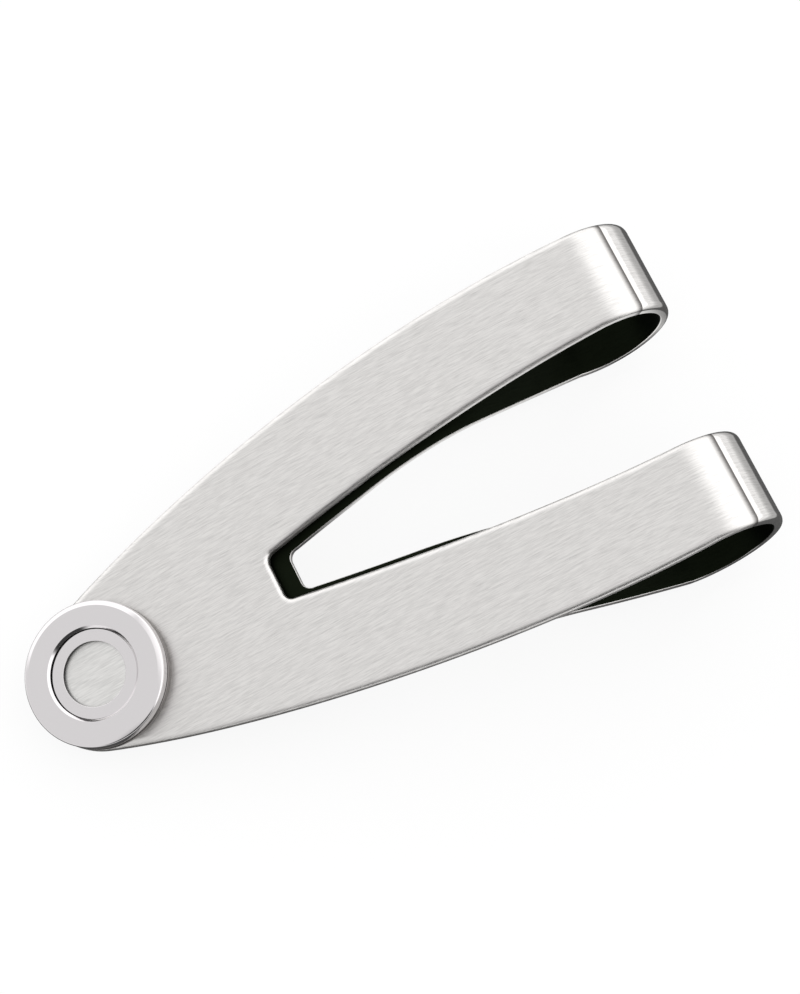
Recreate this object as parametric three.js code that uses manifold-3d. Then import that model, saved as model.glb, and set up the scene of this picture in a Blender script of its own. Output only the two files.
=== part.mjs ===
// Money clip: one folded sheet of spring steel with a V of two arms, and a round medallion at its apex.
// Sizes are in millimetres. The sheet is drawn in the plate's own frame: origin at the centre of the
// medallion on the plate's front face, +X towards the folded ends of the arms, +Z out of that face.
// The whole clip is then turned so that it lies on its back, with +Z up.
import * as THREE from "three";
import { mergeVertices } from "three/addons/utils/BufferGeometryUtils.js";
import Module from "manifold-3d";

const wasm = await Module();
wasm.setup();

// Sheet
const SHEET = 0.95; // thickness of the spring steel
const CUT_GAP = 0.2; // width of the cut between two stretches of the one sheet
const ARCH_START = 6.4; // the plate is flat up to here, then curves gently backwards
const ARCH_RADIUS = 267;
const BEND_START = 48.5; // where the fold at the end of each arm begins
const BEND_RADIUS = 5.77; // outside radius of the fold
const LEAF_RISE = 41; // degrees, slope at which the back leaf leaves the fold
const LEAF_FILLET = 15; // radius between that slope and the leaf's flat stretch
const LEAF_SETTLE = 1.7; // degrees, slope of the flat stretch towards the mouth
const MOUTH_GAP = 0.3; // space between plate and leaf where they would press together
const LIP_START = -1.6; // from here the leaf's end turns away from the plate
const LIP_RADIUS = 6;
const LIP_TURN = 26; // degrees

// Outline of the front plate, half of it: the other half is its mirror image
const END_RADIUS = 6.0; // round end under the medallion
const FLANK_ANGLE = 21; // degrees between the clip's axis and the edge where it leaves that end
const ARM_OUTER = 13.96; // half width over the arms at the folds
const ARM_INNER = 5.74; // half width of the space between the arms at the folds
const CROTCH_X = 16.3; // root of the space between the arms
const CROTCH_HALF = 2.1; // its half width there
const CROTCH_CORNER = 0.8;

// Outline of the back leaf
const LEAF_END_RADIUS = 4.9;
const LEAF_INSET = 1.5; // how far its outer edges are drawn inside the plate's
const LEAF_INNER_INSET = 1.07; // and its inner edges
const LEAF_CROTCH_SHIFT = 1.4; // how much nearer the folds its root between the arms lies
const LEAF_CROTCH_HALF = 1.75;

// Medallion, heights above the plate's front face
const MEDAL_RADIUS = 5.94;
const RIM_WIDTH = 0.44; // shallow bevel round the edge of its face
const RIM_DROP = 0.22;
const MEDAL_TOP = 1.95;
const SEAT_GAP = 0.08; // clearance between two medallion pieces that touch
const FLANGE_TOP = 0.6;
const NECK_RADIUS = 5.5;
const NECK_TOP = 0.78;
const WELL_RADIUS = 3.68; // well in the middle of the face
const WELL_BEVEL = 0.2;
const WELL_DEPTH = 0.4;
const WINDOW_RADIUS = 2.6; // round window in the ring that lies in the well
const WINDOW_RING = 0.38; // thickness of that ring
const STUD_RADIUS = 1.2;
const STUD_HEAD = 2.0;
const STUD_HEAD_DEPTH = 0.42;
const STUD_GRIP = 0.42; // how far the stud reaches into the medallion's base
const STUD_CLEAR = 0.1;

const STEPS = { arch: 12, bend: 22, fillet: 7, lip: 6, edge: 22, end: 18, corner: 6, round: 72 };
const TALL = 60; // taller than the clip, for the prisms that cut outlines

const rad = THREE.MathUtils.degToRad;
const plain = (v) => new THREE.Vector2(v[0], v[1]);
const parts = new THREE.Group();

// Solids

function solid(geometry) {
  const bare = geometry.index ? geometry.toNonIndexed() : geometry.clone();
  bare.deleteAttribute("normal");
  bare.deleteAttribute("uv");
  const merged = mergeVertices(bare, 1e-5);
  const mesh = new wasm.Mesh({
    numProp: 3,
    vertProperties: merged.attributes.position.array,
    triVerts: new Uint32Array(merged.index.array),
  });
  return new wasm.Manifold(mesh);
}

function geometryOf(manifold) {
  const mesh = manifold.getMesh();
  const geometry = new THREE.BufferGeometry();
  geometry.setAttribute("position", new THREE.BufferAttribute(new Float32Array(mesh.vertProperties), 3));
  geometry.setIndex(new THREE.BufferAttribute(new Uint32Array(mesh.triVerts), 1));
  const flat = geometry.toNonIndexed();
  flat.computeVertexNormals();
  return flat;
}

// A prism over an outline in the XY plane, from the height low to the height high.
function plate(points, low, high) {
  const shape = new THREE.Shape(points);
  const geometry = new THREE.ExtrudeGeometry(shape, { depth: high - low, bevelEnabled: false });
  geometry.translate(0, 0, low);
  return solid(geometry);
}

// A prism over an outline in the XZ plane, from the side at y = right to the side at y = left.
function ribbon(points, right, left) {
  const shape = new THREE.Shape(points);
  const geometry = new THREE.ExtrudeGeometry(shape, { depth: left - right, bevelEnabled: false });
  geometry.rotateX(Math.PI / 2);
  geometry.translate(0, left, 0);
  return solid(geometry);
}

function turned(profile) {
  const closed = profile.map(plain);
  const geometry = new THREE.LatheGeometry(closed, STEPS.round);
  geometry.rotateX(Math.PI / 2);
  return solid(geometry);
}

function add(name, manifold, colour, roughness) {
  const material = new THREE.MeshStandardMaterial({ color: colour, roughness, metalness: 1 });
  const mesh = new THREE.Mesh(geometryOf(manifold), material);
  mesh.name = name;
  parts.add(mesh);
}

// Lines of the side view. Every point is [x, z] with the heading of the sheet there, in radians.
// depth is the distance below the plate's front face.

function archAngle(x) {
  return -Math.asin(Math.max(0, x - ARCH_START) / ARCH_RADIUS);
}

function frontHeight(x) {
  return -ARCH_RADIUS * (1 - Math.cos(archAngle(x)));
}

const bendAngle = archAngle(BEND_START);
const bendCentre = [
  BEND_START + BEND_RADIUS * Math.sin(bendAngle),
  frontHeight(BEND_START) - BEND_RADIUS * Math.cos(bendAngle),
];

// A point of the fold, at an angle from straight up (turning forwards) and a depth.
function bendPoint(turn, depth) {
  const r = BEND_RADIUS - depth;
  return [bendCentre[0] + r * Math.sin(turn), bendCentre[1] + r * Math.cos(turn)];
}

function arc(count, from, to, pointAt) {
  return Array.from({ length: count + 1 }, (_, i) => pointAt(from + ((to - from) * i) / count));
}

function frontLine(depth) {
  const arch = arc(STEPS.arch, ARCH_START, BEND_START - CUT_GAP, (x) => {
    const angle = archAngle(x);
    return [x + depth * Math.sin(angle), frontHeight(x) - depth * Math.cos(angle)];
  });
  return [[-END_RADIUS - 1, -depth], ...arch];
}

const leafTurn = Math.PI + rad(LEAF_RISE); // the fold's last angle from straight up

// The back leaf's outer face: slope up from the fold, fillet, flat stretch, lip.
// heading is measured towards the mouth, and side is the depth inside the outer face.
function leafLine(side) {
  const rise = rad(LEAF_RISE);
  const settle = rad(LEAF_SETTLE);
  const start = bendPoint(leafTurn, 0);
  const mouth = [0, -2 * SHEET - MOUTH_GAP];
  const slope = [-Math.cos(rise), Math.sin(rise)];
  const level = [-Math.cos(settle), Math.sin(settle)];
  // The slope line meets the level line a length up from the start.
  const gap = [mouth[0] - start[0], mouth[1] - start[1]];
  const up = (gap[0] * level[1] - gap[1] * level[0]) / (slope[0] * level[1] - slope[1] * level[0]);
  const meet = [start[0] + slope[0] * up, start[1] + slope[1] * up];
  const back = LEAF_FILLET * Math.tan((rise - settle) / 2);
  const inward = (heading) => [Math.sin(heading) * side, Math.cos(heading) * side];
  const shifted = (point, heading) => {
    const move = inward(heading);
    return [point[0] + move[0], point[1] + move[1]];
  };
  const centre = [
    meet[0] - slope[0] * back - Math.sin(rise) * LEAF_FILLET,
    meet[1] - slope[1] * back - Math.cos(rise) * LEAF_FILLET,
  ];
  const fillet = arc(STEPS.fillet, rise, settle, (heading) => {
    const r = LEAF_FILLET;
    const on = [centre[0] + Math.sin(heading) * r, centre[1] + Math.cos(heading) * r];
    return shifted(on, heading);
  });
  const lipAt = [LIP_START, mouth[1] + Math.tan(settle) * (mouth[0] - LIP_START)];
  const lipCentre = [
    lipAt[0] - Math.sin(settle) * LIP_RADIUS,
    lipAt[1] - Math.cos(settle) * LIP_RADIUS,
  ];
  const lip = arc(STEPS.lip, settle, settle - rad(LIP_TURN), (heading) => {
    const r = LIP_RADIUS;
    const on = [lipCentre[0] + Math.sin(heading) * r, lipCentre[1] + Math.cos(heading) * r];
    return shifted(on, heading);
  });
  const first = shifted([start[0] + slope[0] * CUT_GAP, start[1] + slope[1] * CUT_GAP], rise);
  return [first, ...fillet, ...lip];
}

// A strip of sheet between its front line and its back line.
function strip(line) {
  return [...line(0), ...line(SHEET).reverse()].map(plain);
}

// Outlines seen from the front, in the XY plane.

function edge(points) {
  const curve = new THREE.CubicBezierCurve(...points.map(plain));
  return curve.getPoints(STEPS.edge).map((p) => [p.x, p.y]);
}

// The outer edge of one arm, from the round end to the fold.
function outerEdge(endRadius, inset, foldX) {
  const leave = rad(90 + FLANK_ANGLE);
  const start = [endRadius * Math.cos(leave), endRadius * Math.sin(leave)];
  const reach = 0.29 * foldX;
  const first = [start[0] + reach * Math.cos(rad(FLANK_ANGLE)), start[1] + reach * Math.sin(rad(FLANK_ANGLE))];
  const second = [0.66 * foldX, 1.035 * (ARM_OUTER - inset)];
  return edge([start, first, second, [foldX, ARM_OUTER]]);
}

// The inner edge of one arm, from the root of the space between the arms to the fold.
function innerEdge(root, half, inset, foldX) {
  const first = [root + 0.3 * (foldX - root), 0.66 * (ARM_INNER - inset)];
  const second = [root + 0.66 * (foldX - root), 0.965 * (ARM_INNER - inset)];
  return edge([[root + CROTCH_CORNER, half], first, second, [foldX, ARM_INNER]]);
}

function crotchCorner(root, half) {
  const r = Math.min(CROTCH_CORNER, 0.9 * half);
  return arc(STEPS.corner, Math.PI, Math.PI / 2, (a) => [
    root + CROTCH_CORNER + CROTCH_CORNER * Math.cos(a),
    half - r + r * Math.sin(a),
  ]);
}

// The closed V outline. Its arms run straight on past the fold by the length past.
function wishbone(endRadius, outer, inner, corner, foldX, past) {
  const upper = [
    ...outer,
    [foldX + past, ARM_OUTER],
    [foldX + past, ARM_INNER],
    ...inner.reverse(),
    ...corner.reverse().slice(1),
  ];
  const lower = upper.map(([x, y]) => [x, -y]).reverse();
  const leave = rad(90 + FLANK_ANGLE);
  const end = arc(STEPS.end, -leave, leave - 2 * Math.PI, (a) => [endRadius * Math.cos(a), endRadius * Math.sin(a)]);
  return [...upper, ...lower, ...end.slice(1, -1)].map(plain);
}

// Pieces of the sheet

function makeFrontPlate() {
  const outer = outerEdge(END_RADIUS, 0, BEND_START);
  const inner = innerEdge(CROTCH_X, CROTCH_HALF, 0, BEND_START);
  const corner = crotchCorner(CROTCH_X, CROTCH_HALF);
  const outline = wishbone(END_RADIUS, outer, inner, corner, BEND_START, BEND_RADIUS);
  const sheet = ribbon(strip(frontLine), -TALL, TALL);
  const hole = STUD_RADIUS + STUD_CLEAR;
  const sink = STUD_HEAD + STUD_CLEAR;
  const low = -SHEET - 1;
  const rim = -SHEET + STUD_HEAD_DEPTH + STUD_CLEAR;
  const bore = turned([[0, low], [sink, low], [sink, -SHEET], [hole, rim], [hole, 1], [0, 1]]);
  return sheet.intersect(plate(outline, -TALL, TALL)).subtract(bore);
}

function makeBend(side) {
  const outside = arc(STEPS.bend, -bendAngle, leafTurn, (turn) => bendPoint(turn, 0));
  const inside = arc(STEPS.bend, leafTurn, -bendAngle, (turn) => bendPoint(turn, SHEET));
  const inner = Math.min(side * ARM_INNER, side * ARM_OUTER);
  const outer = Math.max(side * ARM_INNER, side * ARM_OUTER);
  return ribbon([...outside, ...inside].map(plain), inner, outer);
}

function makeBackLeaf() {
  const foldX = bendPoint(leafTurn, 0)[0];
  const root = CROTCH_X + LEAF_CROTCH_SHIFT;
  const outer = outerEdge(LEAF_END_RADIUS, LEAF_INSET, foldX);
  const inner = innerEdge(root, LEAF_CROTCH_HALF, LEAF_INNER_INSET, foldX);
  const corner = crotchCorner(root, LEAF_CROTCH_HALF);
  const outline = wishbone(LEAF_END_RADIUS, outer, inner, corner, foldX, BEND_RADIUS);
  const sheet = ribbon(strip(leafLine).reverse(), -TALL, TALL);
  return sheet.intersect(plate(outline, -TALL, TALL));
}

// Pieces of the medallion, each a profile of [radius, height] turned about its axis

function makeBase() {
  const socket = STUD_RADIUS + STUD_CLEAR;
  const depth = STUD_GRIP + STUD_CLEAR;
  return turned([
    [0, depth],
    [socket, depth],
    [socket, SEAT_GAP],
    [MEDAL_RADIUS, SEAT_GAP],
    [MEDAL_RADIUS, FLANGE_TOP],
    [NECK_RADIUS, FLANGE_TOP],
    [NECK_RADIUS, NECK_TOP],
    [0, NECK_TOP],
  ]);
}

function makeBezel() {
  const low = NECK_TOP + SEAT_GAP;
  return turned([
    [WELL_RADIUS, low],
    [MEDAL_RADIUS - 0.05, low],
    [MEDAL_RADIUS, low + 0.05],
    [MEDAL_RADIUS, MEDAL_TOP - RIM_DROP],
    [MEDAL_RADIUS - RIM_WIDTH, MEDAL_TOP],
    [WELL_RADIUS + WELL_BEVEL, MEDAL_TOP],
    [WELL_RADIUS, MEDAL_TOP - WELL_BEVEL],
    [WELL_RADIUS, low],
  ]);
}

function makeWindowRing() {
  const top = MEDAL_TOP - WELL_DEPTH;
  const radius = WELL_RADIUS - SEAT_GAP;
  return turned([
    [WINDOW_RADIUS, top - WINDOW_RING],
    [radius, top - WINDOW_RING],
    [radius, top],
    [WINDOW_RADIUS, top],
    [WINDOW_RADIUS, top - WINDOW_RING],
  ]);
}

function makeWindowFloor() {
  const low = NECK_TOP + SEAT_GAP;
  const top = MEDAL_TOP - WELL_DEPTH - WINDOW_RING - SEAT_GAP;
  const radius = WELL_RADIUS - SEAT_GAP;
  return turned([[0, low], [radius, low], [radius, top], [0, top]]);
}

function makeStud() {
  return turned([
    [0, -SHEET],
    [STUD_HEAD, -SHEET],
    [STUD_RADIUS, -SHEET + STUD_HEAD_DEPTH],
    [STUD_RADIUS, STUD_GRIP],
    [0, STUD_GRIP],
  ]);
}

// The clip lies on the outside of its two folds and on the edge of the leaf's lip.
function restAngle() {
  const lip = leafLine(0).at(-1);
  const across = [bendCentre[0] - lip[0], bendCentre[1] - lip[1]];
  const distance = Math.hypot(across[0], across[1]);
  return Math.atan2(across[1], across[0]) - Math.asin(BEND_RADIUS / distance);
}

add("front_plate", makeFrontPlate(), 0xc9c9c8, 0.38);
add("upper_bend", makeBend(1), 0xcfcfce, 0.34);
add("lower_bend", makeBend(-1), 0xcfcfce, 0.34);
add("back_leaf", makeBackLeaf(), 0xbdbdbc, 0.38);
add("medallion_base", makeBase(), 0xb4b2b5, 0.2);
add("medallion_bezel", makeBezel(), 0xd2ced3, 0.14);
add("window_ring", makeWindowRing(), 0xcbc7cc, 0.16);
add("window_floor", makeWindowFloor(), 0xd8d8d6, 0.4);
add("medallion_stud", makeStud(), 0xa9a9ab, 0.3);

parts.rotation.y = restAngle();
parts.updateMatrixWorld(true);
const box = new THREE.Box3().setFromObject(parts, true);
parts.position.set(-(box.min.x + box.max.x) / 2, 0, -box.min.z);

const clip = new THREE.Group();
clip.name = "money_clip";
clip.add(parts);

export default clip;
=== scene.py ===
# %% [markdown]
# A folded money clip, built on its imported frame. The real clip is one sheet of spring steel: a V
# blank is cut, its edges are tumbled round, its faces are brushed, and it is folded so that a long
# leaf lies under the V. A round ornament of turned, polished steel is riveted to the point of the V.
# The visual sheet is made the same way here: a flat blank with rounded edges is built first, then every
# point of it is carried round the folds by its distance along the sheet. That keeps the brushing lines
# running along the metal through every fold, which a sheet modelled in its folded shape would not.

# %% Start: the frame and its sizes
import bpy
import bmesh
import math
from mathutils import Vector, Matrix


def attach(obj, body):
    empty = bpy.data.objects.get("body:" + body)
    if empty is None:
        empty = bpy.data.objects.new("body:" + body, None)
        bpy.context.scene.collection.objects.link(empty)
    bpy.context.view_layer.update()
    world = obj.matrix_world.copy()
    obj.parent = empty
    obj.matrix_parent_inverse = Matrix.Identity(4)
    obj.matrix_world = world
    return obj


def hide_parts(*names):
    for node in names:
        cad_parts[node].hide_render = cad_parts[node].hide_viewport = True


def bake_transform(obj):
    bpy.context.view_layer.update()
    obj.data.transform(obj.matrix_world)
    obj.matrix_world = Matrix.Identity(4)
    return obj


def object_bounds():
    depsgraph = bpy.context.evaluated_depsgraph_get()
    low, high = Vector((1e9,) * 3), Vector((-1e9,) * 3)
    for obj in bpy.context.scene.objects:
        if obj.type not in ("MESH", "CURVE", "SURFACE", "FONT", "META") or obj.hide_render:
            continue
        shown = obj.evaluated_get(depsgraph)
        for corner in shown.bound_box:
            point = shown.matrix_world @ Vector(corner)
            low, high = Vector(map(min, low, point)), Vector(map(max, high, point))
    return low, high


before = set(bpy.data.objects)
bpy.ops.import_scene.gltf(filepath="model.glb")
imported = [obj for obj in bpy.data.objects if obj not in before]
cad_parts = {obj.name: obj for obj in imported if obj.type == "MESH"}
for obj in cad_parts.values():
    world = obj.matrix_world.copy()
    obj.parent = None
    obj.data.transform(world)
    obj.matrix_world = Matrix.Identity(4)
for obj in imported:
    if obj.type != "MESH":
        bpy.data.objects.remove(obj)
cad_box = [list(map(float, c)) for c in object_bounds()]
MM = 0.001
print("CAD box, mm:", [[round(v / MM, 2) for v in c] for c in cad_box])

# %% [markdown]
# The clip is drawn in the plate's own frame: origin at the medallion's centre on the plate's front
# face, +X towards the folds, +Z out of the face. Lying down, it is turned a little about Y. The turn
# and the place follow from how it rests, on the outsides of its folds and the tip of its lip.

# %% Sizes of the sheet, in millimetres
SHEET = 0.95
ARCH_START, ARCH_RADIUS = 6.4, 267.0
BEND_START, BEND_RADIUS = 48.5, 5.77
LEAF_RISE, LEAF_SETTLE, LEAF_FILLET = math.radians(41), math.radians(1.7), 15.0
MOUTH_GAP, LIP_START, LIP_RADIUS, LIP_TURN = 0.3, -1.6, 6.0, math.radians(26)
END_RADIUS, LEAF_END_RADIUS = 6.0, 4.9
FLANK = math.radians(21)
ARM_OUTER, ARM_INNER = 13.96, 5.74
CROTCH_X, CROTCH_HALF, CROTCH_CORNER = 16.3, 2.1, 0.8
LEAF_INSET, LEAF_INNER_INSET = 1.5, 1.07
LEAF_CROTCH_SHIFT, LEAF_CROTCH_HALF = 1.4, 1.75


# %% The side view of the sheet's outer face: heading and place against the length along it
def arch_angle(x):
    return -math.asin(max(0.0, x - ARCH_START) / ARCH_RADIUS)


bend_angle = arch_angle(BEND_START)
bend_top = (BEND_START, -ARCH_RADIUS * (1 - math.cos(bend_angle)))
bend_centre = (bend_top[0] + BEND_RADIUS * math.sin(bend_angle),
               bend_top[1] - BEND_RADIUS * math.cos(bend_angle))
leaf_turn = math.pi + LEAF_RISE
leaf_start = (bend_centre[0] + BEND_RADIUS * math.sin(leaf_turn),
              bend_centre[1] + BEND_RADIUS * math.cos(leaf_turn))


def leaf_lengths():
    """Lengths of the leaf's straight slope and of its flat stretch, measured on the outer face."""
    mouth = (0.0, -2 * SHEET - MOUTH_GAP)
    slope = (-math.cos(LEAF_RISE), math.sin(LEAF_RISE))
    level = (-math.cos(LEAF_SETTLE), math.sin(LEAF_SETTLE))
    gap = (mouth[0] - leaf_start[0], mouth[1] - leaf_start[1])
    up = (gap[0] * level[1] - gap[1] * level[0]) / (slope[0] * level[1] - slope[1] * level[0])
    meet = (leaf_start[0] + slope[0] * up, leaf_start[1] + slope[1] * up)
    back = LEAF_FILLET * math.tan((LEAF_RISE - LEAF_SETTLE) / 2)
    flat = (meet[0] - LIP_START) / math.cos(LEAF_SETTLE) - back
    return up - back, flat


slope_length, flat_length = leaf_lengths()
arch_length = ARCH_RADIUS * -bend_angle
# Each stretch: its length, and how much its heading turns. The heading is 0 along +X and falls as
# the sheet curls under.
STRETCHES = [
    ("flat", ARCH_START, 0.0),
    ("arch", arch_length, bend_angle),
    ("bend", BEND_RADIUS * (leaf_turn + bend_angle), -(leaf_turn + bend_angle)),
    ("slope", slope_length, 0.0),
    ("fillet", LEAF_FILLET * (LEAF_RISE - LEAF_SETTLE), LEAF_RISE - LEAF_SETTLE),
    ("grip", flat_length, 0.0),
    ("lip", LIP_RADIUS * LIP_TURN, LIP_TURN),
]
starts = {}
along, place, heading = 0.0, (0.0, 0.0), 0.0
for name, length, turn in STRETCHES:
    starts[name] = (along, place, heading)
    if turn == 0:
        place = (place[0] + length * math.cos(heading), place[1] + length * math.sin(heading))
    else:
        r = length / turn
        place = (place[0] + r * (math.sin(heading + turn) - math.sin(heading)),
                 place[1] - r * (math.cos(heading + turn) - math.cos(heading)))
    along, heading = along + length, heading + turn
SHEET_END = along
print("sheet unrolled, mm:", round(SHEET_END, 2), "ends at", [round(v, 2) for v in place])


def side_view(s):
    """Place (x, z) and heading of the outer face at length s from the medallion's axis."""
    if s <= 0:
        return (s, 0.0), 0.0
    for name, length, turn in STRETCHES:
        s0, p, h = starts[name]
        if s <= s0 + length + 1e-9:
            break
    d = s - s0
    if turn == 0 or d <= 0:
        return (p[0] + d * math.cos(h), p[1] + d * math.sin(h)), h
    r, a = length / turn, d * turn / length
    return (p[0] + r * (math.sin(h + a) - math.sin(h)), p[1] - r * (math.cos(h + a) - math.cos(h))), h + a


# %% Lying down: the plate's frame in the object's frame
lip_end = side_view(SHEET_END)[0]
reach = math.hypot(bend_centre[0] - lip_end[0], bend_centre[1] - lip_end[1])
REST = math.atan2(bend_centre[1] - lip_end[1], bend_centre[0] - lip_end[0]) - math.asin(BEND_RADIUS / reach)
turn_down = Matrix.Rotation(REST, 3, "Y")
low = (turn_down @ Vector((bend_centre[0], 0, bend_centre[1]))).z - BEND_RADIUS
right = (turn_down @ Vector((bend_centre[0], 0, bend_centre[1]))).x + BEND_RADIUS
OFFSET = Vector((cad_box[1][0] / MM - right, 0, cad_box[0][2] / MM - low))


def lie(v):
    """A point of the plate's frame, in mm, as a point of the object's frame, in metres."""
    return (turn_down @ Vector(v) + OFFSET) * MM


print("turned by", round(math.degrees(REST), 3), "degrees, moved by", [round(v, 3) for v in OFFSET])

# %% [markdown]
# The blank. Seen flat, it is an eye shape: round at the medallion, opening to the folds, and closing
# again to the leaf's round end, with a pointed hole between the arms. Its edges are tumbled, so each
# one is a small round over the thickness. Rings of points follow both outlines at growing distances
# inwards: that is a fillet whose size is known exactly, where a Bevel modifier would pinch at the
# hole's corners. Each point keeps its own true surface direction for shading.

# %% Outlines of the front and of the leaf, as on the solid
def bezier(points, count):
    out = []
    for i in range(count + 1):
        t = i / count
        b = [(1 - t) ** 3, 3 * t * (1 - t) ** 2, 3 * t * t * (1 - t), t ** 3]
        out.append((sum(w * p[0] for w, p in zip(b, points)), sum(w * p[1] for w, p in zip(b, points))))
    return out


def outer_edge(end_radius, inset, fold_x, count=90):
    leave = math.pi / 2 + FLANK
    start = (end_radius * math.cos(leave), end_radius * math.sin(leave))
    reach = 0.29 * fold_x
    first = (start[0] + reach * math.cos(FLANK), start[1] + reach * math.sin(FLANK))
    second = (0.66 * fold_x, 1.035 * (ARM_OUTER - inset))
    return bezier([start, first, second, (fold_x, ARM_OUTER)], count)


def inner_edge(root, half, inset, fold_x, count=70):
    first = (root + 0.3 * (fold_x - root), 0.66 * (ARM_INNER - inset))
    second = (root + 0.66 * (fold_x - root), 0.965 * (ARM_INNER - inset))
    return bezier([(root + CROTCH_CORNER, half), first, second, (fold_x, ARM_INNER)], count)


def crotch_corner(root, half, count=12):
    r = min(CROTCH_CORNER, 0.9 * half)
    out = []
    for i in range(count + 1):
        a = math.pi - math.pi / 2 * i / count
        out.append((root + CROTCH_CORNER + CROTCH_CORNER * math.cos(a), half - r + r * math.sin(a)))
    return out


def round_end(end_radius, count=40):
    """From the axis of the clip to where the flank leaves the round end."""
    leave = math.pi / 2 + FLANK
    return [(end_radius * math.cos(math.pi + (leave - math.pi) * i / count),
             end_radius * math.sin(math.pi + (leave - math.pi) * i / count)) for i in range(count)]


# %% From the side view's x to the length along the sheet, for each half of the blank
def front_length(x):
    if x <= ARCH_START:
        return x
    return ARCH_START + ARCH_RADIUS * math.asin((x - ARCH_START) / ARCH_RADIUS)


def leaf_length(x):
    """Length along the sheet of the leaf's point over x, found by halving."""
    low_s, high_s = starts["slope"][0], SHEET_END
    if x <= lip_end[0]:
        return SHEET_END + (lip_end[0] - x)
    for _ in range(60):
        mid = (low_s + high_s) / 2
        if side_view(mid)[0][0] > x:
            low_s = mid
        else:
            high_s = mid
    return (low_s + high_s) / 2


def outer_line(end_radius, inset, fold_x, length):
    seen = round_end(end_radius) + outer_edge(end_radius, inset, fold_x)
    return [(length(x), y) for x, y in seen]


def inner_line(root, half, inset, fold_x, length):
    seen = crotch_corner(root, half) + inner_edge(root, half, inset, fold_x)[1:]
    return [(length(x), y) for x, y in seen]


front_outer = outer_line(END_RADIUS, 0, BEND_START, front_length)
front_hole = inner_line(CROTCH_X, CROTCH_HALF, 0, BEND_START, front_length)
leaf_outer = outer_line(LEAF_END_RADIUS, LEAF_INSET, leaf_start[0], leaf_length)
leaf_hole = inner_line(CROTCH_X + LEAF_CROTCH_SHIFT, LEAF_CROTCH_HALF, LEAF_INNER_INSET,
                       leaf_start[0], leaf_length)


def whole(front, leaf):
    """One closed line from the front's line, the leaf's line and their mirror images."""
    top = front + leaf[::-1]
    bottom = [(s, -y) for s, y in top[::-1]]
    line = []
    for p in top + bottom:
        if not line or math.hypot(p[0] - line[-1][0], p[1] - line[-1][1]) > 0.02:
            line.append(p)
    if math.hypot(line[0][0] - line[-1][0], line[0][1] - line[-1][1]) < 0.02:
        line.pop()
    return line


outline = whole(front_outer, leaf_outer)
hole = whole(front_hole, leaf_hole)
print("outline points:", len(outline), "hole points:", len(hole))

# %% Rings of points: from the front face, over the rounded edge, to the back face
FRONT_EDGE = (0.6, 0.42)  # how far the tumbled round reaches over the face and down the wall
BACK_EDGE = (0.14, 0.12)
EDGE_STEPS = 7


def edge_rings():
    """(distance inwards, height, outward share, upward share) for every ring, front to back."""
    rings = []
    for (width, drop), face, sign in ((FRONT_EDGE, 0.0, 1), (BACK_EDGE, -SHEET, -1)):
        part = []
        for i in range(EDGE_STEPS + 1):
            a = math.pi / 2 * i / EDGE_STEPS
            slope = Vector((math.sin(a) / width, math.cos(a) / drop)).normalized()
            part.append((width * (1 - math.sin(a)), face - sign * drop * (1 - math.cos(a)),
                         slope.x, sign * slope.y))
        rings += part if sign == 1 else part[::-1]
    return rings


def directions(line, side):
    """At each point of a closed line, the unit direction into the metal (side 1: to the right)."""
    out = []
    n = len(line)
    for i in range(n):
        a, b = line[i - 1], line[(i + 1) % n]
        t = Vector((b[0] - a[0], b[1] - a[1])).normalized()
        out.append(Vector((t.y, -t.x)) * side)
    return out


def blank_mesh():
    bm = bmesh.new()
    layers = [bm.verts.layers.float.new(n) for n in ("nx", "ny", "nz")]
    tops, bottoms = [], []
    for line, side in ((outline, 1), (hole, -1)):
        inward = directions(line, side)
        loops = []
        for dist, z, out_share, up_share in edge_rings():
            verts = []
            for p, d in zip(line, inward):
                v = bm.verts.new((p[0] + d.x * dist, p[1] + d.y * dist, z))
                n = Vector((-d.x * out_share, -d.y * out_share, up_share)).normalized()
                for layer, c in zip(layers, n):
                    v[layer] = c
                verts.append(v)
            loops.append(verts)
        count = len(line)
        for a, b in zip(loops, loops[1:]):
            for i in range(count):
                j = (i + 1) % count
                bm.faces.new((a[i], a[j], b[j], b[i]) if side == 1 else (a[j], a[i], b[i], b[j]))
        tops.append([bm.edges.get((loops[0][i], loops[0][(i + 1) % count])) for i in range(count)])
        bottoms.append([bm.edges.get((loops[-1][i], loops[-1][(i + 1) % count])) for i in range(count)])
    for edges, up in ((tops, 1), (bottoms, -1)):
        made = bmesh.ops.triangle_fill(bm, edges=edges[0] + edges[1], use_beauty=True, normal=(0, 0, up))
        for f in [g for g in made["geom"] if isinstance(g, bmesh.types.BMFace)]:
            if f.normal.z * up < 0:
                f.normal_flip()
    return bm, layers


bm, normal_layers = blank_mesh()
bmesh.ops.recalc_face_normals(bm, faces=bm.faces)
print("blank: faces", len(bm.faces), "volume mm3", round(bm.calc_volume(), 1))

# %% Cuts across the blank, so that it can curve: fine in the folds, wide on the flat
stations = []
for name, length, turn in STRETCHES:
    s0 = starts[name][0]
    steps = max(2, math.ceil(abs(math.degrees(turn)) / 2.0), math.ceil(length / 2.5))
    stations += [s0 + length * i / steps for i in range(steps)]
stations.append(SHEET_END)
for s in stations:
    bmesh.ops.bisect_plane(bm, geom=bm.verts[:] + bm.edges[:] + bm.faces[:], dist=1e-5,
                           plane_co=(s, 0, 0), plane_no=(1, 0, 0))
print("after", len(stations), "cuts: faces", len(bm.faces))


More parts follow.
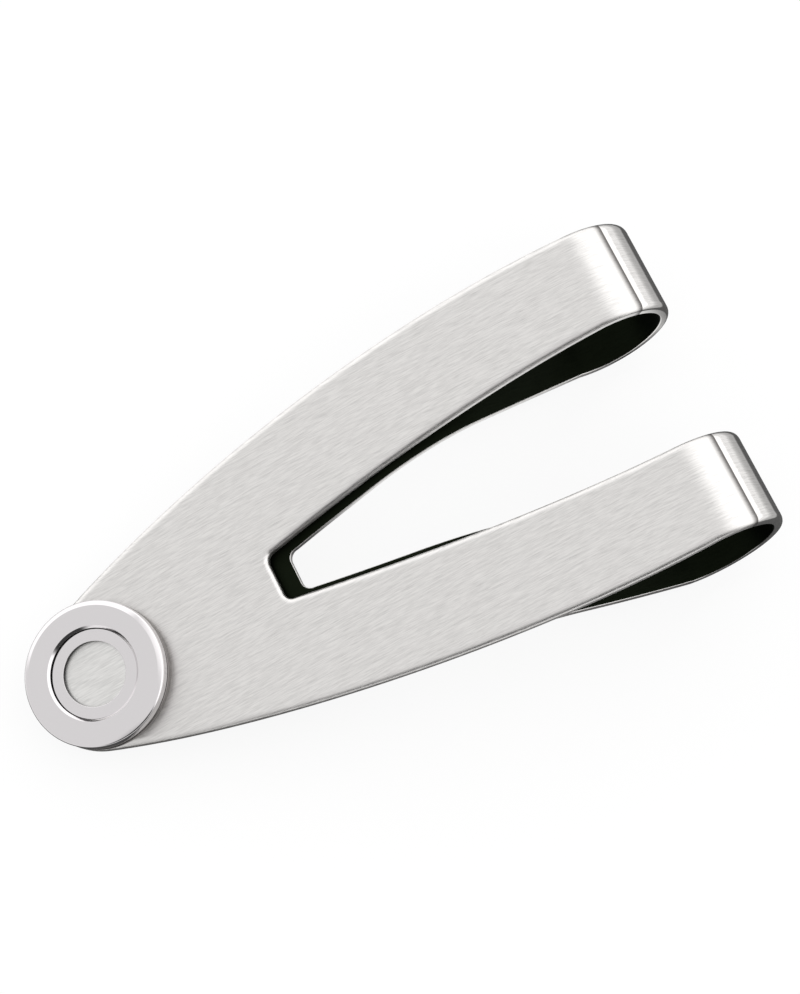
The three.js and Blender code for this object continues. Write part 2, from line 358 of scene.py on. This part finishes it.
# %% Fold the blank and part it into four stretches
def folded(v):
    """A vertex of the blank in the object's frame, with its surface direction."""
    (x, z), h = side_view(v.co.x)
    up = Vector((-math.sin(h), 0, math.cos(h)))
    ahead = Vector((math.cos(h), 0, math.sin(h)))
    n = Vector([v[layer] for layer in normal_layers]).normalized()
    world_n = turn_down @ (ahead * n.x + Vector((0, 1, 0)) * n.y + up * n.z)
    return lie(Vector((x, v.co.y, z)) + up * v.co.z), world_n


def sheet_piece(name, from_s, to_s, side=0):
    """The blank's part between two lengths, folded, with closed ends, its blank as a UV map."""
    chosen = []
    for f in bm.faces:
        c = f.calc_center_median()
        if from_s < c.x < to_s and (side == 0 or c.y * side > 0):
            chosen.append(f)
    index, verts, normals, flat = {}, [], [], []
    faces = []
    for f in chosen:
        for v in f.verts:
            if v not in index:
                index[v] = len(verts)
                p, n = folded(v)
                verts.append(p)
                normals.append(n)
                flat.append(v.co.copy())
        faces.append([index[v] for v in f.verts])
    mesh = bpy.data.meshes.new(name)
    mesh.from_pydata(verts, [], faces)
    piece = bmesh.new()
    piece.from_mesh(mesh)
    open_edges = [e for e in piece.edges if e.is_boundary]
    wall_count = len(piece.faces)
    if open_edges:
        bmesh.ops.holes_fill(piece, edges=open_edges, sides=0)
        for e in open_edges:
            e.smooth = False
    bmesh.ops.recalc_face_normals(piece, faces=piece.faces)
    for f in piece.faces:
        f.smooth = True
    uv = piece.loops.layers.uv.new("blank")
    for f in piece.faces:
        depth = sum(flat[v.index].z for v in f.verts) / len(f.verts)
        f.material_index = 1 if depth < -SHEET + 0.02 else 0
        for loop in f.loops:
            q = flat[loop.vert.index]
            loop[uv].uv = (q.x, q.y + q.z)
    volume = piece.calc_volume()
    piece.to_mesh(mesh)
    piece.free()
    split = []
    for poly in mesh.polygons:
        for k in poly.vertices:
            split.append(normals[k] if poly.index < wall_count else poly.normal)
    mesh.normals_split_custom_set([tuple(n) for n in split])
    obj = bpy.data.objects.new(name, mesh)
    bpy.context.scene.collection.objects.link(obj)
    print(name, "faces", len(mesh.polygons), "volume mm3", round(volume / MM ** 3, 1))
    return obj


fold_from, fold_to = starts["bend"][0], starts["slope"][0]
front = sheet_piece("sheet_front", -END_RADIUS - 1, fold_from)
fold_up = sheet_piece("sheet_fold_upper", fold_from, fold_to, 1)
fold_down = sheet_piece("sheet_fold_lower", fold_from, fold_to, -1)
leaf = sheet_piece("sheet_leaf", fold_to, SHEET_END + LEAF_END_RADIUS + 1)
bm.free()

# %% [markdown]
# The medallion. It is turned on a lathe from bar: a base with a flange and a narrow neck, a bezel
# with a shallow bevel, a thinner ring in the bezel's well, and a small brushed disc below the ring's
# window. A turned piece is its profile spun about its axis. Every corner of a polished piece catches
# a line of light, so each profile's corners are rounded before it is spun.


# %% Turned pieces
def rounded_profile(points, radii, steps=4):
    """The profile with each corner replaced by a small arc of the radius given for it."""
    out = []
    n = len(points)
    for i, (p, r) in enumerate(zip(points, radii)):
        if r <= 0:
            out.append(Vector(p))
            continue
        a, b, c = Vector(points[i - 1]), Vector(p), Vector(points[(i + 1) % n])
        u, w = (a - b).normalized(), (c - b).normalized()
        angle = u.angle(w)
        cut = min(r / math.tan(angle / 2), 0.45 * (a - b).length, 0.45 * (c - b).length)
        r = cut * math.tan(angle / 2)
        centre = b + (u + w).normalized() * (r / math.sin(angle / 2))
        first, last = b + u * cut, b + w * cut
        for k in range(steps + 1):
            d = (first - centre).lerp(last - centre, k / steps).normalized()
            out.append(centre + d * r)
    return out


def turned_piece(name, points, radii, segments=160, sharp=28, steps=4):
    profile = rounded_profile(points, radii, steps)
    made = bmesh.new()
    rings = []
    for p in profile:
        if p.x < 1e-6:
            rings.append([made.verts.new(lie((0, 0, p.y)))])
            continue
        rings.append([made.verts.new(lie((p.x * math.cos(2 * math.pi * i / segments),
                                          p.x * math.sin(2 * math.pi * i / segments), p.y)))
                      for i in range(segments)])
    pairs = list(zip(rings, rings[1:]))
    if len(rings[0]) > 1:
        pairs.append((rings[-1], rings[0]))
    for a, b in pairs:
        for i in range(segments):
            j = (i + 1) % segments
            corners = [a[i % len(a)], a[j % len(a)], b[j % len(b)], b[i % len(b)]]
            unique = list(dict.fromkeys(corners))
            if len(unique) > 2:
                made.faces.new(unique)
    bmesh.ops.recalc_face_normals(made, faces=made.faces)
    for f in made.faces:
        f.smooth = True
    mesh = bpy.data.meshes.new(name)
    made.to_mesh(mesh)
    print(name, "volume mm3", round(made.calc_volume() / MM ** 3, 2))
    made.free()
    mesh.set_sharp_from_angle(angle=math.radians(sharp))
    obj = bpy.data.objects.new(name, mesh)
    bpy.context.scene.collection.objects.link(obj)
    return obj


# %% Sizes of the medallion, in millimetres
MEDAL_RADIUS, MEDAL_TOP = 5.94, 1.95
RIM_WIDTH, RIM_DROP = 0.44, 0.22
FLANGE_TOP, NECK_RADIUS, NECK_TOP = 0.6, 5.5, 0.84
WELL_RADIUS, WELL_BEVEL, WELL_DEPTH = 3.68, 0.2, 0.4
WINDOW_RADIUS, WINDOW_RING = 2.65, 0.38
STUD_RADIUS, STUD_HEAD, STUD_HEAD_DEPTH, HEAD_PROUD = 1.2, 2.08, 0.44, 0.004
SEAM = 0.01  # pieces that seat on each other stay this far apart
seat = NECK_TOP + SEAM
ring_top = MEDAL_TOP - WELL_DEPTH
ring_under = ring_top - WINDOW_RING

# %% The medallion's pieces: each profile's corners as (radius, height), and how far each is rounded
base = turned_piece(
    "medal_base",
    [(0, SEAM), (MEDAL_RADIUS, SEAM), (MEDAL_RADIUS, FLANGE_TOP), (NECK_RADIUS, FLANGE_TOP),
     (NECK_RADIUS, NECK_TOP), (0, NECK_TOP)],
    [0, 0.06, 0.09, 0.05, 0, 0])
bezel = turned_piece(
    "medal_bezel",
    [(WELL_RADIUS, seat), (MEDAL_RADIUS, seat), (MEDAL_RADIUS, MEDAL_TOP - RIM_DROP),
     (MEDAL_RADIUS - RIM_WIDTH, MEDAL_TOP), (WELL_RADIUS + WELL_BEVEL, MEDAL_TOP),
     (WELL_RADIUS, MEDAL_TOP - WELL_BEVEL)],
    [0, 0.08, 0.26, 0.03, 0.03, 0.03], steps=7)
window_ring = turned_piece(
    "medal_window_ring",
    [(WINDOW_RADIUS, ring_under), (WELL_RADIUS - SEAM, ring_under), (WELL_RADIUS - SEAM, ring_top),
     (WINDOW_RADIUS, ring_top)],
    [0, 0, 0.06, 0.05])
window_floor = turned_piece(
    "medal_floor",
    [(0, seat), (WELL_RADIUS - 2 * SEAM, seat), (WELL_RADIUS - 2 * SEAM, ring_under - SEAM / 2),
     (0, ring_under - SEAM / 2)],
    [0, 0, 0, 0])
stud = turned_piece(
    "medal_stud",
    [(0, -SHEET - HEAD_PROUD), (STUD_HEAD, -SHEET - HEAD_PROUD), (STUD_RADIUS, -SHEET + STUD_HEAD_DEPTH),
     (STUD_RADIUS, SEAM / 2), (0, SEAM / 2)],
    [0, 0.05, 0, 0, 0])

# %% [markdown]
# Finishes. All of it is stainless steel, so what differs is how it was worked. The sheet is brushed
# along its length: fine scratches that stretch every reflection across them. The scratches are drawn
# in the blank's own flat coordinates (mm along the sheet, mm across), so they follow the metal round
# the folds. The medallion is polished, so it shows the studio cleanly, with only a haze of wear.

# %% Helpers for node trees
SMOOTH = {"interpolation_type": "SMOOTHSTEP"}


def linear(hex_colour):
    """An sRGB hex colour as linear red, green, blue and an alpha of 1."""
    out = []
    for i in (0, 2, 4):
        c = int(hex_colour[i:i + 2], 16) / 255
        out.append(c / 12.92 if c <= 0.04045 else ((c + 0.055) / 1.055) ** 2.4)
    return (*out, 1.0)


def add(tree, kind, settings=None, inputs=None):
    """A node with its settings; each input is a value, a socket, or a node, for its first output."""
    node = tree.nodes.new(kind)
    for key, value in (settings or {}).items():
        setattr(node, key, value)
    for key, value in (inputs or {}).items():
        if isinstance(value, bpy.types.Node):
            value = value.outputs[0]
        if isinstance(value, bpy.types.NodeSocket):
            tree.links.new(value, node.inputs[key])
        else:
            node.inputs[key].default_value = value
    return node


def fades(tree, place, steps):
    """Smooth steps from one value to another as a place moves along each step's direction."""
    made = {}
    for name, (direction, begin, end, before, after) in steps.items():
        along = add(tree, "ShaderNodeVectorMath", {"operation": "DOT_PRODUCT"}, {0: place, 1: direction})
        made[name] = add(tree, "ShaderNodeMapRange", SMOOTH, {
            "Value": along.outputs["Value"], "From Min": begin, "From Max": end,
            "To Min": before, "To Max": after})
    return made


def new_material(name, colour, roughness, anisotropic=0.0):
    m = bpy.data.materials.new(name)
    m.use_nodes = True
    tree = m.node_tree
    tree.nodes.clear()
    shader = add(tree, "ShaderNodeBsdfPrincipled", inputs={
        "Base Color": linear(colour), "Roughness": roughness, "Metallic": 1.0, "Anisotropic": anisotropic,
        "Anisotropic Rotation": 0.25})
    add(tree, "ShaderNodeOutputMaterial", inputs={"Surface": shader})
    return m, tree, shader


# %% Brushed stainless steel, scratched along the sheet
NOSE_AT = math.radians(48)  # how far round the fold the brushing gives way to a smooth nose
NOSE_ROUGHNESS, NOSE_LENGTH = 0.12, 12.0
nose_line = starts["bend"][0] + BEND_RADIUS * (NOSE_AT + bend_angle)
# Two overlapping sets of scratches, 1 to 3 mm long and a tenth or two of a millimetre wide: the
# stretch of the noise per mm, its place, its detail and its roughness. Real ones are finer than shows.
SCRATCHES = [((0.8, 13.0, 13.0), (0.0, 0.0, 0.0), 3.0, 0.6), ((0.4, 5.5, 5.5), (7.3, 2.1, 0.0), 4.0, 0.65)]


def smooth_nose(tree, where, scratches, gloss, tint, line_at):
    """The fold's nose: beyond line_at the sheet is rubbed smooth, and a ragged dark line is drawn into the
    colour along line_at. Gives the gloss, the height of the scratches and the tint."""
    ahead = (1, 0, 0)
    bands = fades(tree, where, {
        "starts": (ahead, line_at - 0.04, line_at + 0.04, 0.0, 1.0),
        "ends": (ahead, line_at + NOSE_LENGTH, line_at + NOSE_LENGTH + 3.0, 1.0, 0.0),
        "line": (ahead, line_at, line_at + 0.05, 0.9, 0.0)})
    smooth = add(tree, "ShaderNodeMath", {"operation": "MULTIPLY"}, {0: bands["starts"], 1: bands["ends"]})
    gloss = add(tree, "ShaderNodeMix", {"data_type": "FLOAT"}, {0: smooth, 2: gloss, 3: NOSE_ROUGHNESS})
    height = add(tree, "ShaderNodeMath", {"operation": "SUBTRACT"}, {0: scratches, 1: 0.5})
    brushed = add(tree, "ShaderNodeMath", {"operation": "SUBTRACT"}, {0: 1.0, 1: smooth})
    height = add(tree, "ShaderNodeMath", {"operation": "MULTIPLY"}, {0: height, 1: brushed})
    along = add(tree, "ShaderNodeSeparateXYZ", inputs={0: where})
    ragged = add(tree, "ShaderNodeMath", {"operation": "MULTIPLY_ADD"}, {0: scratches, 1: 0.5, 2: along})
    onset = add(tree, "ShaderNodeMapRange", SMOOTH, {
        "Value": ragged, "From Min": line_at - 0.5, "From Max": line_at + 0.23})
    line = add(tree, "ShaderNodeMath", {"operation": "MULTIPLY"}, {0: onset, 1: bands["line"]})
    tint = add(tree, "ShaderNodeMix", {"data_type": "RGBA"}, {0: line, 6: tint, 7: linear("3E3A38")})
    return gloss, height, tint.outputs[2]


def brushed_steel(name, colour, source, roughness=0.3, depth=0.5, line_at=None):
    """source is "blank" for the sheet's flat coordinates in mm, or "object" for lines along +X."""
    m, tree, shader = new_material(name, colour, roughness, 0.55)
    if source == "blank":
        where = add(tree, "ShaderNodeUVMap", {"uv_map": "blank"})
        tangent = add(tree, "ShaderNodeTangent", {"direction_type": "UV_MAP", "uv_map": "blank"})
    else:
        # In mm, and turned back so that the scratches run along the plate, which lies at a slope.
        coords = add(tree, "ShaderNodeTexCoord").outputs["Object"]
        where = add(tree, "ShaderNodeMapping", inputs={
            "Vector": coords, "Scale": (1000, 1000, 1000), "Rotation": (0, -REST, 0)})
        tangent = add(tree, "ShaderNodeTangent", {"direction_type": "RADIAL", "axis": "Y"})
    sets = []
    for stretch, shift, detail, grit in SCRATCHES:
        drawn = add(tree, "ShaderNodeMapping", inputs={"Vector": where, "Scale": stretch, "Location": shift})
        sets.append(add(tree, "ShaderNodeTexNoise", inputs={
            "Vector": drawn, "Scale": 1.0, "Detail": detail, "Roughness": grit}))
    scratches = add(tree, "ShaderNodeMix", {"data_type": "FLOAT"}, {0: 0.45, 2: sets[0], 3: sets[1]})
    # Handling leaves slow, cloudy changes of gloss, a centimetre or so across.
    cloud = add(tree, "ShaderNodeTexNoise", inputs={"Vector": where, "Scale": 0.12, "Detail": 2.0})
    gloss = add(tree, "ShaderNodeMapRange", inputs={
        "Value": scratches, "From Min": 0.3, "From Max": 0.7,
        "To Min": roughness - 0.06, "To Max": roughness + 0.07})
    gloss = add(tree, "ShaderNodeMath", {"operation": "MULTIPLY_ADD"}, {0: cloud, 1: 0.05, 2: gloss})
    bright = linear(colour)
    streak = (*(0.78 * c for c in bright[:3]), 1.0)
    tone = add(tree, "ShaderNodeMapRange", inputs={"Value": scratches, "From Min": 0.36, "From Max": 0.58})
    tint = add(tree, "ShaderNodeMix", {"data_type": "RGBA"}, {0: tone, 6: streak, 7: bright}).outputs[2]
    height = scratches
    if line_at is not None:
        gloss, height, tint = smooth_nose(tree, where, scratches, gloss, tint, line_at)
    bump = add(tree, "ShaderNodeBump", inputs={"Strength": depth, "Distance": 0.02 * MM, "Height": height})
    for socket, value in (("Tangent", tangent), ("Roughness", gloss), ("Normal", bump)):
        tree.links.new(value.outputs[0], shader.inputs[socket])
    tree.links.new(tint, shader.inputs["Base Color"])
    return m


# %% Polished stainless steel, with a haze of fine wear
def polished_steel(name, colour, roughness):
    """The haze is a few millimetres across, and the wear on it a quarter of a millimetre."""
    m, tree, shader = new_material(name, colour, roughness)
    coords = add(tree, "ShaderNodeTexCoord").outputs["Object"]
    haze = add(tree, "ShaderNodeTexNoise", inputs={
        "Vector": coords, "Scale": 420.0, "Detail": 5.0, "Roughness": 0.6})
    wear = add(tree, "ShaderNodeTexNoise", inputs={"Vector": coords, "Scale": 3800.0, "Detail": 3.0})
    gloss = add(tree, "ShaderNodeMapRange", inputs={
        "Value": haze, "From Min": 0.35, "From Max": 0.7,
        "To Min": roughness * 0.75, "To Max": roughness * 1.35})
    bump = add(tree, "ShaderNodeBump", inputs={"Strength": 0.08, "Distance": 0.01 * MM, "Height": wear})
    tree.links.new(gloss.outputs[0], shader.inputs["Roughness"])
    tree.links.new(bump.outputs[0], shader.inputs["Normal"])
    return m


# %% The seven finishes
# Spring steel brushed along the clip: a satin grey with fine streaks, and a bright nose on each fold.
sheet_steel = brushed_steel("brushed_stainless_sheet", "E2E0DE", "blank", line_at=nose_line)
# The sheet's inner face, rougher: its colour is painted shade, nearly black, for the shade inside the folds,
# where little light reaches.
painted_shade_inner_steel = brushed_steel("painted_shade_sheet_inside", "181D14", "blank", 0.45)
# The window's floor, brushed more lightly: the same streaks, fainter.
disc_steel = brushed_steel("brushed_stainless_disc", "E4E3E1", "object", 0.34, 0.06)
# A rivet head ground flush: a little darker and duller than the plate round it.
rivet_steel = brushed_steel("ground_stainless_rivet", "B5B5B6", "object", 0.36)
# Mirror-polished rings: one clean pale tone, with lines of white on their rounded corners.
bezel_steel = polished_steel("polished_stainless_bezel", "D9D6D7", 0.09)
# A flange under the bezel with a duller polish; its colour is darkened as painted shade, so it reads as a
# shadow line below the bezel.
painted_shade_base_steel = polished_steel("polished_stainless_base_painted_shade", "7A7674", 0.2)
# The walls deep in the well, rougher: their near-black colour is painted shade, drawing the thin dark
# circles.
painted_shade_wall_steel = polished_steel("painted_shade_well_wall", "1C1B1B", 0.3)

for obj, material in ((base, painted_shade_base_steel), (bezel, bezel_steel), (window_ring, bezel_steel),
                      (window_floor, disc_steel), (stud, rivet_steel)):
    obj.data.materials.append(material)
# Each sheet piece's back face takes slot 1: the inner finish, whose near-black colour is painted shade.
for obj in (front, fold_up, fold_down, leaf):
    obj.data.materials.append(sheet_steel)
    obj.data.materials.append(painted_shade_inner_steel)

# The walls of the well and of the window face the medallion's axis; they take the wall finish, whose colour
# is painted shade.
for obj in (bezel, window_ring):
    obj.data.materials.append(painted_shade_wall_steel)
    axis, up = lie((0, 0, 0)), turn_down @ Vector((0, 0, 1))
    for face in obj.data.polygons:
        out = face.center - axis
        out -= up * out.dot(up)
        if face.normal.dot(out.normalized()) < -0.9:
            face.material_index = 1

# %% Each piece stands for its node and rides on its body
for obj, node, kept in (
        (front, "front_plate", "brushed_sheet"),
        (base, "medallion_base", "polished_base"),
        (bezel, "medallion_bezel", "polished_bezel"),
        (window_ring, "window_ring", "polished_bezel"),
        (window_floor, "window_floor", "brushed_disc"),
        (stud, "medallion_stud", "stud_steel")):
    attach(obj, "clip_front")
    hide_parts(node)
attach(leaf, "leaf")
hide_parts("back_leaf")

# The folds keep their place in the scene's frame, on no body.
for obj, node in ((fold_up, "upper_bend"), (fold_down, "lower_bend")):
    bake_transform(obj)
    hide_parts(node)

# %% [markdown]
# Studio. The clip lies on a white table in soft light. Polished metal shows the studio itself, so
# the light is made of large shapes: a pale surround, brighter on the right and behind, where the
# folds pick up their white patch, and almost dark in front, which draws the thin dark lines. The
# table's glow seen in the metal is painted: painted shadow under and round the clip, painted light
# beyond it. The camera itself sees both as plain white.

# %% Table
paper = bpy.data.materials.new("white_table")
paper.use_nodes = True
tree = paper.node_tree
tree.nodes.clear()
spot = add(tree, "ShaderNodeTexCoord").outputs["Object"]
to_right, to_left, to_back, to_front = (1, 0, 0), (-1, 0, 0), (0, 1, 0), (0, -1, 0)
# The painted shadow is a wedge like the clip, a dark patch painted into the table's glow: it ends close
# behind the slanting upper arm and further out in front of the lower one. Distances are in metres, then the
# glow before and after each edge.
edges = fades(tree, spot, {
    "behind": ((-0.16, 1, 0), 0.00934, 0.01234, 0.0, 1.0),
    "in_front": (to_front, 0.017, 0.032, 0.0, 1.0),
    "left": (to_left, 0.0325, 0.05, 0.0, 1.0),
    "by_the_folds": (to_right, 0.0385, 0.0405, 0.0, 0.42),
    "far_right": (to_right, 0.042, 0.075, 0.0, 0.58),
    "gap_starts": (to_right, -0.004, 0.004, 0.0, 1.0),
    "gap_near": (to_front, 0.0035, 0.0055, 1.0, 0.0),
    "gap_far": (to_back, 0.0035, 0.0055, 1.0, 0.0),
    "under_folds": (to_right, 0.028, 0.032, 1.0, 0.0)})
right = add(tree, "ShaderNodeMath", {"operation": "ADD"}, {0: edges["by_the_folds"], 1: edges["far_right"]})
# A strip of painted light also lies in the gap between the arms.
gap = edges["gap_starts"]
for side in ("gap_near", "gap_far"):
    gap = add(tree, "ShaderNodeMath", {"operation": "MULTIPLY"}, {0: gap, 1: edges[side]})
painted_glow = gap
for lit in (edges["behind"], edges["in_front"], edges["left"], right):
    painted_glow = add(tree, "ShaderNodeMath", {"operation": "MAXIMUM"}, {0: painted_glow, 1: lit})
# Beside and beyond the folds, what counts is the distance from them; round the medallion a painted shadow
# keeps it dark.
most = add(tree, "ShaderNodeMath", {"operation": "MAXIMUM"}, {0: right, 1: edges["under_folds"]})
painted_glow = add(tree, "ShaderNodeMath", {"operation": "MINIMUM"}, {0: painted_glow, 1: most})
from_medal = add(tree, "ShaderNodeVectorMath", {"operation": "DISTANCE"}, {0: spot, 1: (-0.024, 0.0016, 0.0)})
painted_shadow_round_medal = add(tree, "ShaderNodeMapRange", SMOOTH, {
    "Value": from_medal.outputs["Value"], "From Min": 0.0095, "From Max": 0.0115})
painted_glow = add(tree, "ShaderNodeMath", {"operation": "MULTIPLY"}, {0: painted_glow, 1: painted_shadow_round_medal})
# Only rays that are not the camera's see the painted glow and painted shadow; the camera sees an even white.
seen = add(tree, "ShaderNodeLightPath").outputs["Is Camera Ray"]
strength = add(tree, "ShaderNodeMix", {"data_type": "FLOAT"}, {0: seen, 2: painted_glow, 3: 0.88})
light = add(tree, "ShaderNodeEmission", inputs={"Strength": strength})
matt = add(tree, "ShaderNodeBsdfDiffuse", inputs={"Color": (0.12, 0.12, 0.12, 1)})
both = add(tree, "ShaderNodeAddShader", inputs={0: light, 1: matt})
add(tree, "ShaderNodeOutputMaterial", inputs={"Surface": both})

HALF_TABLE = 3.0
table_mesh = bpy.data.meshes.new("table")
table_mesh.from_pydata([(HALF_TABLE * x, HALF_TABLE * y, 0) for x, y in ((-1, -1), (1, -1), (1, 1), (-1, 1))],
                       [], [(0, 1, 2, 3)])
table_mesh.materials.append(paper)
table = bpy.data.objects.new("table", table_mesh)
bpy.context.scene.collection.objects.link(table)

# %% Surround: brighter on the right and behind, dark in front
world = bpy.data.worlds.new("surround")
bpy.context.scene.world = world
world.use_nodes = True
tree = world.node_tree
tree.nodes.clear()
way = add(tree, "ShaderNodeTexCoord").outputs["Generated"]
PALE = 0.94
parts = fades(tree, way, {
    "front": ((-0.1, -0.97, 0.22), 0.76, 0.92, 1.0, 0.06),
    "right": (to_right, 0.24, 0.55, 0.0, 0.66),
    "back": (to_back, 0.55, 0.72, 0.0, 0.6)})
bright = add(tree, "ShaderNodeMath", {"operation": "MAXIMUM"}, {0: parts["right"], 1: parts["back"]})
bright = add(tree, "ShaderNodeMath", {"operation": "ADD"}, {0: PALE, 1: bright})
bright = add(tree, "ShaderNodeMath", {"operation": "MULTIPLY"}, {0: parts["front"], 1: bright})
seen = add(tree, "ShaderNodeLightPath").outputs["Is Camera Ray"]
bright = add(tree, "ShaderNodeMix", {"data_type": "FLOAT"}, {0: seen, 2: bright, 3: 1.0})
back = add(tree, "ShaderNodeBackground", inputs={"Color": (1, 1, 1, 1), "Strength": bright})
add(tree, "ShaderNodeOutputWorld", inputs={"Surface": back})

# %% Camera: its place in mm and the directions of the picture's edges, in the plate's own frame
CAMERA_PLACE = (65.893, -64.058, 226.227)
PICTURE_RIGHT = Vector((0.85891, -0.43652, -0.26780))
PICTURE_DOWN = Vector((-0.48717, -0.85769, -0.16445))
camera_data = bpy.data.cameras.new("camera")
camera_data.sensor_fit, camera_data.sensor_width, camera_data.lens = "HORIZONTAL", 36.0, 136.0
camera_data.clip_start, camera_data.clip_end = 0.01, 20.0
camera = bpy.data.objects.new("camera", camera_data)
bpy.context.scene.collection.objects.link(camera)
right_edge, down_edge = turn_down @ PICTURE_RIGHT, turn_down @ PICTURE_DOWN
ahead = right_edge.cross(down_edge)
facing = Matrix((right_edge, -down_edge, -ahead)).transposed().to_4x4()
camera.matrix_world = Matrix.Translation(lie(CAMERA_PLACE)) @ facing
bpy.context.scene.camera = camera
print("camera looks along", [round(v, 3) for v in ahead])

# %% View transform, and the end
bpy.context.scene.view_settings.view_transform = "Standard"
